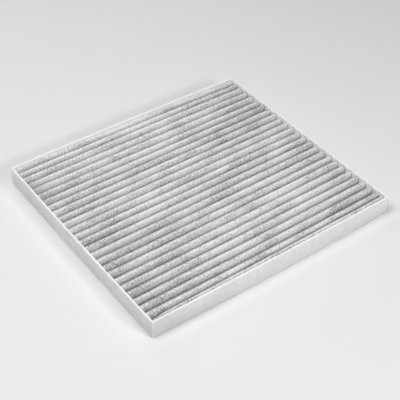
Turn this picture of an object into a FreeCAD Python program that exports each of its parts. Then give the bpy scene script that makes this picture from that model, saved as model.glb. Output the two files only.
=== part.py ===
import FreeCAD, Part
import math
import os

# Pleated cabin air filter: one folded sheet of filter media, closed round its four
# edges by stiff felt strips that are bonded to it with hot-melt films.
# Millimetres. X runs along the pleats, Y across them, Z up.
# The origin is the middle of the underside.

# Overall size
filter_width = 240.0
filter_length = 215.0
filter_height = 17.0

# Edge strips of stiff felt
strip_thickness = 1.8
rim_softening = 0.35
corner_radius = 0.6

# Hot-melt films between the strips and the pleat pack
glue_thickness = 0.3

# Pleat pack, folded from one sheet
media_thickness = 1.2
fold_inner_radius = 0.6
crest_recess = 0.5
nominal_pitch = 8.5
end_bay = 6.3

# Sizes that follow from the ones above
pack_width = filter_width - 2 * (strip_thickness + glue_thickness)
pack_length = filter_length - 2 * (strip_thickness + glue_thickness)
pack_bottom = crest_recess
pack_top = filter_height - crest_recess
pack_height = pack_top - pack_bottom

fold_outer_radius = fold_inner_radius + media_thickness
crest_height = pack_top - fold_outer_radius
valley_height = pack_bottom + fold_outer_radius

end_crest = pack_length / 2 - fold_outer_radius
regular_span = 2 * (end_crest - end_bay)
regular_bays = round(regular_span / nominal_pitch)
pitch = regular_span / regular_bays


def point(y, z):
    """A point of the pleat section, in the plane of the left pleat ends."""
    return FreeCAD.Vector(-pack_width / 2, y, z)


def crest_positions():
    """Y of every upper fold: tight bays at both ends and even ones between."""
    inner = [pitch * index - regular_span / 2 for index in range(regular_bays + 1)]
    return [-end_crest] + inner + [end_crest]


def wall_lean(half_bay):
    """Angle from the vertical of a wall tangent to an upper and a lower fold."""
    drop = crest_height - valley_height
    fold_radius = (fold_inner_radius + fold_outer_radius) / 2
    distance = math.hypot(half_bay, drop)
    return math.atan2(half_bay, drop) - math.asin(2 * fold_radius / distance)


def along(centre, radius, angle, side):
    """The point at a radius from a fold's centre, on the normal of a leaning wall."""
    y, z = centre
    return point(y + side * radius * math.cos(angle), z + radius * math.sin(angle))


def face_edges(crests, crest_radius, valley_radius):
    """Edges of one face of the folded sheet, from its front edge to its rear one."""
    edges = []
    last = point(-end_crest - crest_radius, pack_bottom)
    arrival = point(-end_crest - crest_radius, crest_height)
    for here, there in zip(crests, crests[1:]):
        half_bay = (there - here) / 2
        lean = wall_lean(half_bay)
        crest = (here, crest_height)
        valley = (here + half_bay, valley_height)
        leave = along(crest, crest_radius, lean, 1)
        descend = along(valley, -valley_radius, lean, 1)
        ascend = along(valley, -valley_radius, lean, -1)
        edges.append(Part.LineSegment(last, arrival).toShape())
        over = point(here, crest_height + crest_radius)
        edges.append(Part.Arc(arrival, over, leave).toShape())
        edges.append(Part.LineSegment(leave, descend).toShape())
        under = point(here + half_bay, valley_height - valley_radius)
        edges.append(Part.Arc(descend, under, ascend).toShape())
        last = ascend
        arrival = along((there, crest_height), crest_radius, lean, -1)
    edges.append(Part.LineSegment(last, arrival).toShape())
    over = point(end_crest, crest_height + crest_radius)
    leave = point(end_crest + crest_radius, crest_height)
    edges.append(Part.Arc(arrival, over, leave).toShape())
    rear_edge = point(end_crest + crest_radius, pack_bottom)
    edges.append(Part.LineSegment(leave, rear_edge).toShape())
    return edges


def cut_edge(side):
    """The square-cut edge of the sheet, under the flap at one end of the pack."""
    inside = point(side * (end_crest + fold_inner_radius), pack_bottom)
    outside = point(side * (end_crest + fold_outer_radius), pack_bottom)
    return Part.LineSegment(inside, outside).toShape()


def pleated_media():
    """The whole sheet: folds of constant thickness and a glued flap at each end."""
    crests = crest_positions()
    upper = face_edges(crests, fold_outer_radius, fold_inner_radius)
    lower = face_edges(crests, fold_inner_radius, fold_outer_radius)
    outline = upper + [cut_edge(1)] + lower[::-1] + [cut_edge(-1)]
    section = Part.Face(Part.Wire(outline))
    return section.extrude(FreeCAD.Vector(pack_width, 0, 0))


def block(size, low_corner):
    return Part.makeBox(*size, FreeCAD.Vector(*low_corner))


def is_rim_edge(edge):
    """True for an edge that lies wholly in the top or the bottom plane."""
    box = edge.BoundBox
    return box.ZLength < 1e-6 and min(abs(box.ZMin), abs(box.ZMax - filter_height)) < 1e-6


def side_strip(side):
    """Strip across the pleat ends, the full length, with rounded outer corners."""
    inner_face = side * (filter_width / 2 - strip_thickness)
    outer_face = side * filter_width / 2
    low_corner = (min(inner_face, outer_face), -filter_length / 2, 0)
    strip = block((strip_thickness, filter_length, filter_height), low_corner)
    corners = [
        edge
        for edge in strip.Edges
        if edge.BoundBox.ZLength > filter_height / 2
        and abs(edge.CenterOfMass.x - outer_face) < 1e-6
    ]
    strip = strip.makeFillet(corner_radius, corners)
    return strip.makeFillet(rim_softening, [edge for edge in strip.Edges if is_rim_edge(edge)])


def end_strip(side):
    """Strip along the end fold, fitted between the films on the two side strips."""
    low_face = side * filter_length / 2 - (strip_thickness if side > 0 else 0)
    low_corner = (-pack_width / 2, low_face, 0)
    strip = block((pack_width, strip_thickness, filter_height), low_corner)
    long_edges = [
        edge
        for edge in strip.Edges
        if is_rim_edge(edge) and edge.BoundBox.XLength > pack_width / 2
    ]
    return strip.makeFillet(rim_softening, long_edges)


def side_glue_film(side):
    """Film that beds the pleat ends and the ends of the end strips."""
    middle = side * (pack_width + glue_thickness) / 2
    low_corner = (middle - glue_thickness / 2, -filter_length / 2, pack_bottom)
    return block((glue_thickness, filter_length, pack_height), low_corner)


def end_glue_film(side):
    """Film between an end strip and the flap of the folded sheet."""
    middle = side * (pack_length + glue_thickness) / 2
    low_corner = (-pack_width / 2, middle - glue_thickness / 2, pack_bottom)
    return block((pack_width, glue_thickness, pack_height), low_corner)


parts = {
    "pleated_media": pleated_media(),
    "left_side_strip": side_strip(-1),
    "right_side_strip": side_strip(1),
    "front_end_strip": end_strip(-1),
    "rear_end_strip": end_strip(1),
    "left_glue_film": side_glue_film(-1),
    "right_glue_film": side_glue_film(1),
    "front_glue_film": end_glue_film(-1),
    "rear_glue_film": end_glue_film(1),
}

os.makedirs("parts", exist_ok=True)
for name, shape in parts.items():
    shape.exportStep("parts/" + name + ".step")
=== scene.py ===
import math

import bmesh
import bpy
import numpy as np
from mathutils import Matrix, Vector


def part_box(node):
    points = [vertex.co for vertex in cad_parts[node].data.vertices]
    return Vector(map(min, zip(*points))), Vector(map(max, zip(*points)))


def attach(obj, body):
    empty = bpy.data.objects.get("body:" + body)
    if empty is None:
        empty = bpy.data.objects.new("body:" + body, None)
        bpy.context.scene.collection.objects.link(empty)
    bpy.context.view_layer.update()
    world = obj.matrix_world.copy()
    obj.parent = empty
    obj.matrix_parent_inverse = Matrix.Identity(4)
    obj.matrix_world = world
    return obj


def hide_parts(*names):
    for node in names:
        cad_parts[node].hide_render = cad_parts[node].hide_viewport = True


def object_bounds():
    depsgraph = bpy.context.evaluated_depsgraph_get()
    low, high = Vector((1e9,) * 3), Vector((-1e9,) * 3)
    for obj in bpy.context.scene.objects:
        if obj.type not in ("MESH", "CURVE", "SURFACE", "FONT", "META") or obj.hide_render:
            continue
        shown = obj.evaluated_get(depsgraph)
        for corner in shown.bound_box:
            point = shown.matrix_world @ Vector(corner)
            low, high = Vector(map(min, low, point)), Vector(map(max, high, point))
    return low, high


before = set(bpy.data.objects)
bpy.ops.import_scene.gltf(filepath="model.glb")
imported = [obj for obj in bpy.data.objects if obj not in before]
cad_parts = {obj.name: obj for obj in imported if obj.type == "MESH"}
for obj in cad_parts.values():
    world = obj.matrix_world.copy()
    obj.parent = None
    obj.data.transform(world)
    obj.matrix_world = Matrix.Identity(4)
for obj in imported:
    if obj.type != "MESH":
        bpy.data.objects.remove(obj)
cad_low, cad_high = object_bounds()

# Metres and the CAD's own frame: X along the pleats, Y across them, Z up.
MM = 0.001

# Sizes from the frame
filter_low, filter_high = Vector(cad_low), Vector(cad_high)
filter_width = filter_high.x - filter_low.x
filter_length = filter_high.y - filter_low.y
filter_height = filter_high.z - filter_low.z
pack_low, pack_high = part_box("pleated_media")
pack_width = pack_high.x - pack_low.x

# The folded sheet, as the CAD has it
media_thickness = 1.2 * MM
fold_inner_radius = 0.6 * MM
fold_mid_radius = fold_inner_radius + media_thickness / 2
fold_outer_radius = fold_inner_radius + media_thickness
end_bay = 6.3 * MM
regular_bays = 23

# The felt strips, as the CAD has them
strip_thickness = 1.8 * MM
rim_softening = 0.35 * MM
corner_radius = 0.6 * MM

# Roundings that the scene gives the rims: crisper than the CAD's, but softer inside the front strip
rim_radius = rim_softening * 0.8
front_inner_radius = 0.75 * MM

# How finely the pieces are meshed
media_step = 2.2 * MM
fold_segments = 6
wall_segments = 2
strip_step = 1.0 * MM
strip_side_segments = 12
strip_rim_segments = 4
strip_corner_segments = 3
film_step = 3.0 * MM
tip_segments = 5

# Edges that turn by more than these angles, in degrees, stay sharp
media_sharp_angle = 50
felt_sharp_angle = 60
melt_sharp_angle = 30

# Seeds of the random unevenness, with one more for each next strip or film
fold_seed = 7
cockle_seed = 11
strip_seed = 20
film_seed = 30

# Hand-folded unevenness of the sheet, with the wavelengths of what varies along a fold
fold_shift = 0.24 * MM
fold_wander = 0.16 * MM
fold_wander_waves = (0.60, 0.31, 0.12)
fold_rise = 0.10 * MM
fold_rise_waves = (0.12, 0.05)
cockle_depth = 0.07 * MM
cockle_sizes = (6 * MM, 18 * MM)
ripple_count = 48

# The front fold, which sags and is tucked in at its left end, and the slack at the rear one
tuck_drop = 2.6 * MM
tuck_reach = 9 * MM
front_sag_least = 0.15 * MM
front_sag_left = 1.05 * MM
front_sag_reach = 70 * MM
front_gape = 0.45 * MM
front_gape_left = 0.35 * MM
rear_slack = 1.0 * MM

# Cut ends of the sheet: pressed round at both side strips. Painted shade darkens the pleats near
# the right one, where they meet the right strip
end_rounding = 0.5 * MM
right_end_shade_reach = 1.6 * MM
right_end_shade_darkness = 0.55

# Unevenness of the pressed felt, which fades out near the ends of a strip
felt_swell = 0.06 * MM
swell_sizes = (9 * MM, 40 * MM)
rim_wobble = 0.07 * MM
rim_waves = (0.11, 0.037, 0.013)
calm_reach = 8 * MM
strip_overlap = 0.1 * MM

# Unevenness of the hot-melt, and the fillet that it forms along the rear fold
film_slump = 0.7 * MM
film_waves = (0.09, 0.031, 0.012)
film_drop = 0.4 * MM
film_setback = 1.0 * MM
rear_fillet_reach = 1.3 * MM
rear_fillet_drop = 0.25 * MM

# How the soft edges have settled: largest bow at the middle of a strip
front_bow_low = 2.2 * MM
front_bow_high = 0.6 * MM
rear_bow = 0.9 * MM
left_bow_low = 0.5 * MM
left_bow_high = 0.7 * MM
front_reach = 150 * MM
rear_reach = 40 * MM
left_reach = 20 * MM

# How far the front and left strips bulge outwards at half their height
strip_bulge = 0.35 * MM
bulge_reach = 12 * MM

# How far a carbon grain reaches from its middle, in shares of a cell, and what adds to that
grain_reach = 0.55
grain_raggedness = (-0.22, 0.22)
clump_reach = (-0.06, 0.30)
patch_range = (0.36, 0.70)
patch_reach = (-0.075, 0.17)
smudge_reach = (0.0, 0.05)
drift_reach = 0.12

# What darkens the fleece between its white and the grey of the carbon
grain_edge = 0.40
grain_darkness = 0.90
dusting_darkness = 0.04
drift_darkness = 0.19
fleece_white = (0.88, 0.88, 0.88)
carbon_grey = (0.28, 0.28, 0.28)

# What lightens the felt between its grey and its white. Among it is painted shade: darker towards
# the bottom, and darker in a broad patch at the front strip's lower left
mottling_share = 0.7
fibre_share = 0.15
felt_tone = (0.66, 0.81)
# Broad painted shade, darkest at the front strip's lower left
painted_patch_shade = (-0.18, 0.0)
# Painted light and shade by height, at the top rim and at the bottom
painted_height_shade = (0.07, -0.07)
# Lighter on the end strips' rims and the side strips' ends
cut_fringe = 0.4 * MM
rim_and_end_lightening = 0.10
felt_grey = (0.42, 0.42, 0.42)
felt_white = (0.98, 0.98, 0.98)

# Where the broad unevenness of the fleece falls, and where the felt's broad painted shade falls,
# darkest at the front strip's lower left
fleece_drift_shift = (1.93, -0.26, -1.76)
painted_shade_shift = (-1.19, 2.44, -2.01)

# Darkest and lightest levels of the hot-melt, and how much less blue than red it is
melt_levels = (0.93, 0.97)
soaked_melt_levels = (0.62, 0.68)
melt_warmth = 0.01

# Shader constants that all the materials share
specular_level = 0.25
sheen_roughness = 0.6

# Camera, from the photograph's perspective
photo_width_px = 400
focal_px = 945.62
view_azimuth = math.radians(-37.598)
view_elevation = math.radians(41.5435)
view_roll = math.radians(1.669)
view_distance = 0.81368
view_aim = Vector((0.001104, -0.002779, -0.001724))
sensor_width_mm = 36
nearest_seen = 0.05
farthest_seen = 20

# Lamps, all turned to the origin: name, place and diameter in metres, and watts
lamps = (
    ("top", (0.0, 0.0, 1.4), 0.7, 4.6),
    ("front", (0.25, -1.05, 0.67), 0.25, 5.8),
    ("left", (-0.6, 0.1, 1.15), 0.7, 8.25),
    ("front_left", (-0.6, -0.8, 1.0), 0.7, 1.6),
    ("back", (0.1, 1.0, 0.8), 0.7, 2.5),
)
world_strength = 0.02
floor_grey = (0.8, 0.8, 0.8)
floor_reach = 6.0


def smooth_random(rng, count, x, wavelengths, amplitude):
    """Smooth random curves over x, as a row for each of count curves."""
    curves = np.zeros((count, len(x)))
    for wavelength in wavelengths:
        phase = rng.uniform(0, 2 * math.pi, (count, 1))
        weight = rng.normal(0, 1, (count, 1))
        curves += weight * np.sin(2 * math.pi * x[None, :] / wavelength + phase)
    return amplitude * curves / math.sqrt(len(wavelengths))


def rippled(rng, across, along, sizes, amplitude):
    """A smooth random height at every point of a surface, from crossing ripples."""
    height = np.zeros(np.broadcast(across, along).shape)
    for _ in range(ripple_count):
        wavelength = math.exp(rng.uniform(math.log(sizes[0]), math.log(sizes[1])))
        heading = rng.uniform(0, math.pi)
        phase = rng.uniform(0, 2 * math.pi)
        run = across * math.cos(heading) + along * math.sin(heading)
        height += np.sin(2 * math.pi * run / wavelength + phase)
    return amplitude * height / math.sqrt(ripple_count / 2)


def settle(points):
    """Moves points of any piece as the soft edges of the filter have bowed."""
    x, y, z = points[..., 0], points[..., 1], points[..., 2]
    across = 1 - (2 * x / filter_width) ** 2
    along = 1 - (2 * y / filter_length) ** 2
    height = (z - filter_low.z) / filter_height
    front = np.clip(1 - (y - filter_low.y) / front_reach, 0, 1)
    rear = np.clip(1 - (filter_high.y - y) / rear_reach, 0, 1)
    left = np.clip(1 - (x - filter_low.x) / left_reach, 0, 1)
    front_bow = front_bow_low + (front_bow_high - front_bow_low) * height
    left_bow = left_bow_low + (left_bow_high - left_bow_low) * height
    bulge = strip_bulge * 4 * height * (1 - height)
    moved = points.copy()
    for axis, low in ((0, filter_low.x), (1, filter_low.y)):
        moved[..., axis] -= bulge * np.clip(1 - (points[..., axis] - low) / bulge_reach, 0, 1)
    moved[..., 1] -= front_bow * across * front
    moved[..., 1] += rear_bow * across * rear
    moved[..., 0] -= left_bow * along * left
    return moved


def bite(distance, radius):
    """How far a rounded end has drawn in, at a distance from the end."""
    if distance >= radius:
        return 0.0
    return radius - math.sqrt(radius ** 2 - (radius - distance) ** 2)


def stations(half, step, end_radius):
    """Distances along a piece from its middle, close together at rounded ends."""
    inner = half - end_radius
    along = np.linspace(-inner, inner, round(2 * inner / step) + 1)
    if end_radius == 0:
        return along
    share = np.sin(np.linspace(0, math.pi / 2, tip_segments + 1)[1:])
    tip = inner + end_radius * share
    return np.concatenate([-tip[::-1], along, tip])


def face_outwards(mesh):
    """Turns the faces of a closed mesh over if they point inwards."""
    shell = bmesh.new()
    shell.from_mesh(mesh)
    if shell.calc_volume(signed=True) < 0:
        bmesh.ops.reverse_faces(shell, faces=shell.faces)
        shell.to_mesh(mesh)
    shell.free()


def make_mesh(name, points, faces, sharp_angle):
    """A smooth-shaded piece, except at edges that turn by more than an angle."""
    mesh = bpy.data.meshes.new(name)
    mesh.from_pydata([tuple(p) for p in points.reshape(-1, 3).tolist()], [], faces)
    mesh.validate()
    face_outwards(mesh)
    mesh.polygons.foreach_set("use_smooth", [True] * len(mesh.polygons))
    mesh.set_sharp_from_angle(angle=math.radians(sharp_angle))
    piece = bpy.data.objects.new(name, mesh)
    bpy.context.scene.collection.objects.link(piece)
    return piece


def crest_bases():
    """Y of every upper fold in the CAD: tight end bays and even ones between."""
    end_crest = pack_high.y - fold_outer_radius
    inner_crest = end_crest - end_bay
    inner = np.linspace(-inner_crest, inner_crest, regular_bays + 1)
    return np.concatenate([[-end_crest], inner, [end_crest]])


def fold_centres(x):
    """Centres of the upper and the lower folds at every station along x."""
    rng = np.random.default_rng(fold_seed)
    crests = crest_bases()
    valleys = (crests[1:] + crests[:-1]) / 2
    crest_height = pack_high.z - fold_outer_radius
    valley_height = pack_low.z + fold_outer_radius
    layout = []
    for bases, height in ((crests, crest_height), (valleys, valley_height)):
        count = len(bases)
        y = bases[:, None] + rng.normal(0, fold_shift, (count, 1))
        y = y + smooth_random(rng, count, x, fold_wander_waves, fold_wander)
        z = height - np.abs(rng.normal(0, fold_rise, (count, 1)))
        z = z + smooth_random(rng, count, x, fold_rise_waves, fold_rise / 2)
        layout.append([y, z])
    (crest_y, crest_z), (valley_y, valley_z) = layout
    from_left = x - x[0]
    near_left = np.exp(-(from_left / front_sag_reach) ** 2)
    crest_y[0] = crests[0] + front_gape + front_gape_left * near_left
    crest_y[-1] = crests[-1]
    crest_y[-2] -= rear_slack
    valley_y[-1] -= rear_slack / 2
    crest_z[0] -= tuck_drop * np.exp(-(from_left / tuck_reach) ** 2)
    crest_z[0] -= front_sag_least + front_sag_left * near_left
    crest_z = np.minimum(crest_z, crest_height)
    valley_z = np.maximum(valley_z, valley_height)
    return crest_y, crest_z, valley_y, valley_z


def wall_lean(low_y, low_z, high_y, high_z):
    """Angle from the vertical of walls between lower and upper folds."""
    rise = high_z - low_z
    run = np.abs(high_y - low_y)
    spread = np.hypot(run, rise)
    return np.arctan2(run, rise) - np.arcsin(2 * fold_mid_radius / spread)


def arc(y, z, radius, start, stop):
    """Points of one fold's arc at every station, from one angle to another."""
    share = np.linspace(0, 1, fold_segments + 1)[:, None]
    angle = start + (stop - start) * share
    return np.stack([y + radius * np.cos(angle), z + radius * np.sin(angle)], axis=-1)


def wall(start, stop):
    """Points of one wall at every station, without those of the folds at its ends."""
    share = np.arange(1, wall_segments)[:, None, None] / wall_segments
    return start + (stop - start) * share


def sheet_face(crest_radius, valley_radius, centres):
    """One face of the sheet as rows of points, from its front edge to its rear one."""
    crest_y, crest_z, valley_y, valley_z = centres
    down = wall_lean(valley_y, valley_z, crest_y[:-1], crest_z[:-1])
    up = wall_lean(valley_y, valley_z, crest_y[1:], crest_z[1:])
    bottom = np.full_like(crest_z[0], pack_low.z)
    foot = np.full_like(bottom, pack_low.y + fold_outer_radius - crest_radius)
    upright = np.full_like(bottom, math.pi)
    rows = [np.stack([foot, bottom], axis=-1)[None]]
    for fold in range(len(crest_y)):
        last = fold == len(crest_y) - 1
        arrive = upright if fold == 0 else math.pi - up[fold - 1]
        leave = upright * 0 if last else down[fold]
        crest = arc(crest_y[fold], crest_z[fold], crest_radius, arrive, leave)
        rows.append(wall(rows[-1][-1], crest[0]))
        rows.append(crest)
        if last:
            break
        arrive = math.pi + down[fold]
        leave = 2 * math.pi - up[fold]
        valley = arc(valley_y[fold], valley_z[fold], valley_radius, arrive, leave)
        rows.append(wall(crest[-1], valley[0]))
        rows.append(valley)
    edge = np.stack([crest_y[-1] + crest_radius, bottom], axis=-1)
    rows.append(wall(rows[-1][-1], edge))
    rows.append(edge[None])
    return np.concatenate(rows)


def cockled(upper, lower, x):
    """Both faces moved alike by small cockles and thinned at the cut ends, and their length."""
    rng = np.random.default_rng(cockle_seed)
    across = upper - lower
    normal = across / np.linalg.norm(across, axis=-1, keepdims=True)
    middle = ((upper + lower) / 2)[:, len(x) // 2]
    steps = np.linalg.norm(np.diff(middle, axis=0), axis=1)
    travel = np.concatenate([[0], np.cumsum(steps)])
    height = rippled(rng, x[None, :], travel[:, None], cockle_sizes, cockle_depth)
    flap = pack_high.z - pack_low.z
    from_ends = np.minimum(travel, travel[-1] - travel)
    height *= np.clip((from_ends - flap) / flap, 0, 1)[:, None]
    moved = normal * height[..., None]
    drawn_in = [bite((x[-1] - x[0]) / 2 - abs(along), end_rounding) for along in x]
    thinned = normal * np.array(drawn_in)[None, :, None]
    return upper + moved - thinned, lower + moved + thinned, float(travel[-1])


def media_mesh():
    """The folded sheet as one closed mesh, and its length before it was folded."""
    x = stations(pack_width / 2, media_step, end_rounding)
    centres = fold_centres(x)
    upper = sheet_face(fold_outer_radius, fold_inner_radius, centres)
    lower = sheet_face(fold_inner_radius, fold_outer_radius, centres)
    upper, lower, unfolded = cockled(upper, lower, x)
    loop = np.concatenate([upper, lower[::-1]])
    row_count, station_count = loop.shape[:2]
    along = np.broadcast_to(x[None, :, None], (row_count, station_count, 1))
    points = settle(np.concatenate([along, loop], axis=2))
    faces = []
    for row in range(row_count):
        here = row * station_count
        there = (row + 1) % row_count * station_count
        for station in range(station_count - 1):
            near, far = here + station, there + station
            faces.append((near, near + 1, far + 1, far))
    for row in range(row_count // 2 - 1):
        opposite = row_count - 1 - row
        corners = [row, row + 1, opposite - 1, opposite]
        faces.append([corner * station_count for corner in corners])
        faces.append([(corner + 1) * station_count - 1 for corner in corners[::-1]])
    return make_mesh("folded_media", points, faces, media_sharp_angle), unfolded


def strip_sizes(low, high, axis):
    """Half length, thickness and inner face of a strip or film that faces along an axis."""
    if axis == "x":
        return (high.y - low.y) / 2, high.x - low.x, min(abs(low.x), abs(high.x))
    return (high.x - low.x) / 2, high.y - low.y, min(abs(low.y), abs(high.y))


def corner_point(corner, turn):
    """The point of a rounded corner of a section after a turn from its start."""
    across, height, start, radius = corner
    return across + radius * math.cos(start - turn), height + radius * math.sin(start - turn)


def section(width, low, high, inner_radius):
    """Outline of a soft-edged strip: up its inner face and down its outer one."""
    corners = (
        (rim_radius, low + rim_radius, 1.5 * math.pi, rim_radius),
        (inner_radius, high - inner_radius, math.pi, inner_radius),
        (width - rim_radius, high - rim_radius, 0.5 * math.pi, rim_radius),
        (width - rim_radius, low + rim_radius, 0.0, rim_radius),
    )
    points = []
    for index, corner in enumerate(corners):
        for turn in np.linspace(0, math.pi / 2, strip_corner_segments + 1):
            points.append(corner_point(corner, turn))
        last = points[-1]
        following = corner_point(corners[(index + 1) % len(corners)], 0)
        segments = strip_side_segments if index % 2 == 0 else strip_rim_segments
        for step in range(1, segments):
            share = step / segments
            points.append(tuple(a + (b - a) * share for a, b in zip(last, following)))
    return points


def tube(name, along, rings, side, axis, inner_face, sharp_angle):
    """A closed piece through rings of points, each a distance off the inner face and a height."""
    outward = side * (inner_face + rings[..., 0])
    lengthwise = np.broadcast_to(along[:, None], outward.shape)
    height = rings[..., 1]
    order = (outward, lengthwise, height) if axis == "x" else (lengthwise, outward, height)
    points = settle(np.stack(order, axis=-1))
    ring_count, ring_size = outward.shape
    faces = []
    for ring in range(ring_count - 1):
        here, there = ring * ring_size, (ring + 1) * ring_size
        for corner in range(ring_size):
            after = (corner + 1) % ring_size
            faces.append((here + corner, here + after, there + after, there + corner))
    last = (ring_count - 1) * ring_size
    faces.append(list(range(ring_size))[::-1])
    faces.append([last + corner for corner in range(ring_size)])
    return make_mesh(name, points, faces, sharp_angle)


def felt_strip(name, side, axis, seed, inner_radius):
    """A felt strip in place of the CAD's, with soft rims and a slightly swollen face."""
    low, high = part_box(name)
    rounded = axis == "x"
    half, width, inner_face = strip_sizes(low, high, axis)
    if not rounded:
        half = filter_width / 2 - strip_thickness + strip_overlap
    rng = np.random.default_rng(seed)
    along = stations(half, strip_step, corner_radius if rounded else 0)
    top_rim, bottom_rim = smooth_random(rng, 2, along, rim_waves, rim_wobble)
    rings = []
    for place in along:
        end_gap = half - abs(place)
        drawn = bite(end_gap, corner_radius) if rounded else 0.0
        trimmed = bite(end_gap, rim_softening) if rounded else 0.0
        rings.append(section(width - drawn, low.z + trimmed, high.z - trimmed, inner_radius))
    rings = np.array(rings)
    across, height = rings[..., 0], rings[..., 1]
    calm = np.clip((half - np.abs(along)) / calm_reach, 0, 1)[:, None]
    swell = rippled(rng, along[:, None], height, swell_sizes, felt_swell)
    share = (height - low.z) / (high.z - low.z)
    sink = np.minimum(top_rim, 0)[:, None] * share
    lift = sink + np.maximum(bottom_rim, 0)[:, None] * (1 - share)
    uneven = np.stack([across + swell * calm * (across / width), height + lift * calm], axis=-1)
    felt_name = name.replace("strip", "felt")
    return tube(felt_name, along, uneven, side, axis, inner_face, felt_sharp_angle)


def glue_film(name, side, axis, seed, fillet_reach):
    """A hot-melt film in place of the CAD's, with edges that have run unevenly."""
    low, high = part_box(name)
    half, width, inner_face = strip_sizes(low, high, axis)
    if axis == "x":
        half -= film_setback
    rng = np.random.default_rng(seed)
    along = stations(half, film_step, 0)
    slump = np.abs(smooth_random(rng, 2, along, film_waves, film_slump))
    rings = []
    for top_slump, bottom_slump in slump.T:
        bottom = low.z + bottom_slump
        if fillet_reach:
            top = high.z
            inner = [(0, bottom), (0, top - fillet_reach), (-fillet_reach, top - rear_fillet_drop)]
        else:
            top = high.z - film_drop - top_slump
            inner = [(0, bottom), (0, (bottom + top) / 2), (0, top)]
        rings.append([*inner, (width, top), (width, bottom)])
    melt_name = name.replace("film", "melt")
    return tube(melt_name, along, np.array(rings), side, axis, inner_face, melt_sharp_angle)


def node(tree, kind, **settings):
    """A new shader node, with some of its settings changed."""
    made = tree.nodes.new(kind)
    for name, value in settings.items():
        setattr(made, name, value)
    return made


def new_material(name, roughness, sheen):
    """A material with its shader's constants set, and its node tree and shader."""
    material = bpy.data.materials.new(name)
    material.use_nodes = True
    tree = material.node_tree
    shader = tree.nodes["Principled BSDF"]
    shader.inputs["Roughness"].default_value = roughness
    shader.inputs["Specular IOR Level"].default_value = specular_level
    shader.inputs["Sheen Weight"].default_value = sheen
    shader.inputs["Sheen Roughness"].default_value = sheen_roughness
    return material, tree, shader


def own_coordinates(tree):
    """Coordinates that belong to the piece itself, in metres."""
    return node(tree, "ShaderNodeTexCoord").outputs["Object"]


def stretched(tree, coordinates, stretch, shift=(0, 0, 0)):
    """Coordinates scaled and shifted: a texture grows longer along an axis of small scale."""
    mapping = node(tree, "ShaderNodeMapping")
    mapping.inputs["Scale"].default_value = stretch
    mapping.inputs["Location"].default_value = shift
    tree.links.new(coordinates, mapping.inputs["Vector"])
    return mapping.outputs["Vector"]


def noise(tree, coordinates, scale, detail, stretch=(1, 1, 1), shift=(0, 0, 0)):
    """Smooth noise from about 0 to 1."""
    made = node(tree, "ShaderNodeTexNoise")
    made.inputs["Scale"].default_value = scale
    made.inputs["Detail"].default_value = detail
    tree.links.new(stretched(tree, coordinates, stretch, shift), made.inputs["Vector"])
    return made.outputs["Fac"]


def cells(tree, coordinates, scale, stretch):
    """Distance to the nearest of many scattered points, and a chance value for that one."""
    made = node(tree, "ShaderNodeTexVoronoi")
    made.inputs["Scale"].default_value = scale
    tree.links.new(stretched(tree, coordinates, stretch), made.inputs["Vector"])
    return made.outputs["Distance"], made.outputs["Color"]


def remap(tree, value, source, target):
    """A value eased from one range into another, and held at the ends."""
    made = node(tree, "ShaderNodeMapRange", interpolation_type="SMOOTHSTEP")
    names = ("From Min", "From Max", "To Min", "To Max")
    for name, number in zip(names, (*source, *target)):
        made.inputs[name].default_value = number
    tree.links.new(value, made.inputs["Value"])
    return made.outputs["Result"]


def combine(tree, operation, first, second):
    """One calculation on two values, each a number or another node's output."""
    made = node(tree, "ShaderNodeMath", operation=operation)
    for socket, value in zip(made.inputs, (first, second)):
        if isinstance(value, (int, float)):
            socket.default_value = value
        else:
            tree.links.new(value, socket)
    return made.outputs["Value"]


def total(tree, first, *others):
    """All the values added up."""
    for other in others:
        first = combine(tree, "ADD", first, other)
    return first


def scaled(tree, value, amount):
    """A value multiplied by an amount."""
    return combine(tree, "MULTIPLY", value, amount)


def distance_off(tree, coordinates, axis, plane):
    """Distance along one axis of a piece's own coordinates from a plane."""
    parts = node(tree, "ShaderNodeSeparateXYZ")
    tree.links.new(coordinates, parts.inputs["Vector"])
    shifted = combine(tree, "SUBTRACT", parts.outputs[axis], plane)
    return combine(tree, "ABSOLUTE", shifted, 0)


def shade(tree, shader, factor, color_at_zero, color_at_one):
    """Colours the shader between two colours by a factor."""
    mix = node(tree, "ShaderNodeMix", data_type="RGBA")
    mix.inputs["A"].default_value = (*color_at_zero, 1)
    mix.inputs["B"].default_value = (*color_at_one, 1)
    tree.links.new(factor, mix.inputs["Factor"])
    tree.links.new(mix.outputs["Result"], shader.inputs["Base Color"])


def emboss(tree, shader, height, depth, strength):
    """Gives the shader fine relief from a height."""
    bump = node(tree, "ShaderNodeBump")
    bump.inputs["Distance"].default_value = depth
    bump.inputs["Strength"].default_value = strength
    tree.links.new(height, bump.inputs["Height"])
    tree.links.new(bump.outputs["Normal"], shader.inputs["Normal"])


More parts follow.
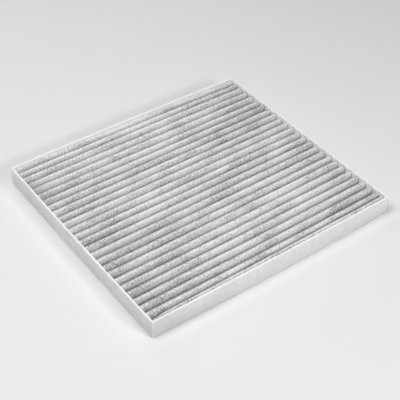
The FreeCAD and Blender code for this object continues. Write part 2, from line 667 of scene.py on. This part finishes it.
def fleece_material():
    """Matt off-white fleece with carbon grains showing through, densely in patches, and painted
    shade at the pleats' right ends.
    """
    material, tree, shader = new_material("filter_fleece", roughness=0.95, sheen=0.10)
    own = own_coordinates(tree)
    off_middle, chance = cells(tree, own, scale=1900, stretch=(1, 0.75, 0.75))
    pile = noise(tree, own, scale=2600, detail=2)
    clumps = noise(tree, own, scale=850, detail=2, stretch=(1, 0.6, 0.6))
    patches = noise(tree, own, scale=75, detail=2, stretch=(0.6, 1.9, 0.6))
    smudges = noise(tree, own, scale=32, detail=1)
    drift = noise(tree, own, scale=10, detail=1, shift=fleece_drift_shift)
    broad = remap(tree, drift, (0.22, 0.64), (0.0, 1.0))
    reach = total(
        tree,
        scaled(tree, chance, grain_reach),
        remap(tree, pile, (0.25, 0.75), grain_raggedness),
        remap(tree, clumps, (0.30, 0.70), clump_reach),
        remap(tree, patches, patch_range, patch_reach),
        remap(tree, smudges, (0.40, 0.75), smudge_reach),
        scaled(tree, broad, drift_reach),
    )
    inside_grain = combine(tree, "SUBTRACT", reach, off_middle)
    from_left = distance_off(tree, own, "X", pack_low.x)
    right_end_shade_zone = (pack_width - right_end_shade_reach, pack_width)
    darkness = total(
        tree,
        remap(tree, inside_grain, (0.0, grain_edge), (0.0, grain_darkness)),
        remap(tree, patches, patch_range, (0.0, dusting_darkness)),
        scaled(tree, broad, drift_darkness),
        # Painted shade on the last stretch of the pleats, where they meet the right strip
        remap(tree, from_left, right_end_shade_zone, (0.0, right_end_shade_darkness)),
    )
    shade(tree, shader, darkness, fleece_white, carbon_grey)
    emboss(tree, shader, total(tree, pile, clumps), depth=0.26 * MM, strength=0.9)
    return material


def cut_edges(tree, own):
    """Where the felt was cut: 1 on the end strips' rims and the side strips' ends, or else 0."""
    half_width, half_length, half_height = filter_width / 2, filter_length / 2, filter_height / 2
    strip_inner = half_width - strip_thickness
    off_height = distance_off(tree, own, "Z", (filter_low.z + filter_high.z) / 2)
    off_x = distance_off(tree, own, "X", 0)
    off_y = distance_off(tree, own, "Y", 0)
    at_rim = remap(tree, off_height, (half_height - cut_fringe, half_height), (0.0, 1.0))
    on_side = remap(tree, off_x, (strip_inner, strip_inner + cut_fringe), (0.0, 1.0))
    at_end = remap(tree, off_y, (half_length - cut_fringe, half_length), (0.0, 1.0))
    off_side = combine(tree, "SUBTRACT", 1.0, on_side)
    end_rims = combine(tree, "MULTIPLY", at_rim, off_side)
    side_ends = combine(tree, "MULTIPLY", on_side, at_end)
    return combine(tree, "MAXIMUM", end_rims, side_ends)


def felt_material():
    """Matt white needled felt: faint mottling, short crossed fibres, soft surface, with painted
    shade towards the bottom and at the front strip's lower left.
    """
    material, tree, shader = new_material("edge_felt", roughness=0.9, sheen=0.15)
    own = own_coordinates(tree)
    mottling = noise(tree, own, scale=120, detail=3)
    lengthwise = noise(tree, own, scale=900, detail=2, stretch=(0.2, 0.2, 1))
    upright = noise(tree, own, scale=900, detail=2, stretch=(1, 1, 0.2))
    fibres = total(tree, lengthwise, upright)
    drift = noise(tree, own, scale=9, detail=1, shift=painted_shade_shift)
    blotches = scaled(tree, mottling, mottling_share)
    streaks = scaled(tree, fibres, fibre_share)
    below_rim = distance_off(tree, own, "Z", filter_high.z)
    tone = total(
        tree,
        remap(tree, total(tree, blotches, streaks), (0.30, 0.70), felt_tone),
        # Broad painted shade, darkest at the front strip's lower left
        remap(tree, drift, (0.355, 0.455), painted_patch_shade),
        # Painted light and shade: lighter towards the top rim, darker towards the bottom
        remap(tree, below_rim, (0.0, filter_height), painted_height_shade),
        # Lighter on the end strips' rims and the side strips' ends
        scaled(tree, cut_edges(tree, own), rim_and_end_lightening),
    )
    shade(tree, shader, tone, felt_grey, felt_white)
    emboss(tree, shader, fibres, depth=0.12 * MM, strength=0.6)
    return material


def melt_material(name, levels):
    """Hot-melt film between two levels of a warm white or grey, satin, with shallow ripples."""
    material, tree, shader = new_material(name, roughness=0.5, sheen=0.0)
    ripples = noise(tree, own_coordinates(tree), scale=300, detail=2)
    tone = remap(tree, ripples, (0.30, 0.70), (0.0, 1.0))
    shade(tree, shader, tone, *((level, level, level - melt_warmth) for level in levels))
    emboss(tree, shader, ripples, depth=0.15 * MM, strength=0.4)
    return material


def floor_material():
    """Plain pale paint."""
    material, _, shader = new_material("floor_paint", roughness=0.9, sheen=0.0)
    shader.inputs["Base Color"].default_value = (*floor_grey, 1)
    return material


def add_camera():
    """The photograph's camera: seen from the front left and above, rolled very slightly."""
    data = bpy.data.cameras.new("camera")
    data.sensor_width = sensor_width_mm
    data.lens = focal_px / photo_width_px * sensor_width_mm
    data.clip_start = nearest_seen
    data.clip_end = farthest_seen
    camera = bpy.data.objects.new("camera", data)
    bpy.context.scene.collection.objects.link(camera)
    back = Vector((
        math.sin(view_azimuth) * math.cos(view_elevation),
        -math.cos(view_azimuth) * math.cos(view_elevation),
        math.sin(view_elevation),
    ))
    level = Vector((0, 0, 1)).cross(back).normalized()
    upright = back.cross(level)
    right = math.cos(view_roll) * level + math.sin(view_roll) * upright
    up = back.cross(right)
    turn = Matrix((right, up, back)).transposed().to_4x4()
    camera.matrix_world = Matrix.Translation(view_aim + back * view_distance) @ turn
    bpy.context.scene.camera = camera


def add_lamp(name, place, diameter, watts):
    """A round, soft lamp that shines towards the origin."""
    data = bpy.data.lights.new(name, "AREA")
    data.shape = "DISK"
    data.size = diameter
    data.energy = watts
    lamp = bpy.data.objects.new(name, data)
    bpy.context.scene.collection.objects.link(lamp)
    lamp.location = place
    lamp.rotation_mode = "QUATERNION"
    lamp.rotation_quaternion = Vector(place).to_track_quat("Z", "Y")


def add_world():
    """A faint white light from all round."""
    world = bpy.data.worlds.new("studio")
    world.use_nodes = True
    background = world.node_tree.nodes["Background"]
    background.inputs["Color"].default_value = (1, 1, 1, 1)
    background.inputs["Strength"].default_value = world_strength
    bpy.context.scene.world = world


def add_floor():
    """A plain floor, level with the filter's underside."""
    mesh = bpy.data.meshes.new("floor")
    turns = ((-1, -1), (1, -1), (1, 1), (-1, 1))
    corners = [(x * floor_reach, y * floor_reach, 0) for x, y in turns]
    mesh.from_pydata(corners, [], [(0, 1, 2, 3)])
    floor = bpy.data.objects.new("floor", mesh)
    bpy.context.scene.collection.objects.link(floor)
    mesh.materials.append(floor_material())


def stand_in(piece, cad_name, material):
    """Puts a piece in the place of the CAD's node of that name."""
    piece.data.materials.append(material)
    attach(piece, "root")
    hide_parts(cad_name)


bpy.context.scene.view_settings.view_transform = "Standard"
add_camera()
add_world()
for lamp in lamps:
    add_lamp(*lamp)
add_floor()

fleece = fleece_material()
felt = felt_material()
melt = melt_material("hot_melt", melt_levels)
soaked_melt = melt_material("hot_melt_in_fleece", soaked_melt_levels)

media, unfolded_length = media_mesh()
stand_in(media, "pleated_media", fleece)

# The four edges, with the side of the filter they are on and the axis they face along
edges = (
    ("left_side", -1, "x"), ("right_side", 1, "x"), ("front_end", -1, "y"), ("rear_end", 1, "y")
)
for index, (edge, side, axis) in enumerate(edges):
    inner_radius = front_inner_radius if edge == "front_end" else rim_radius
    strip = felt_strip(edge + "_strip", side, axis, strip_seed + index, inner_radius)
    stand_in(strip, edge + "_strip", felt)
    film_name = edge.split("_")[0] + "_glue_film"
    fillet = rear_fillet_reach if edge == "rear_end" else 0
    film = glue_film(film_name, side, axis, film_seed + index, fillet)
    stand_in(film, film_name, soaked_melt if fillet else melt)
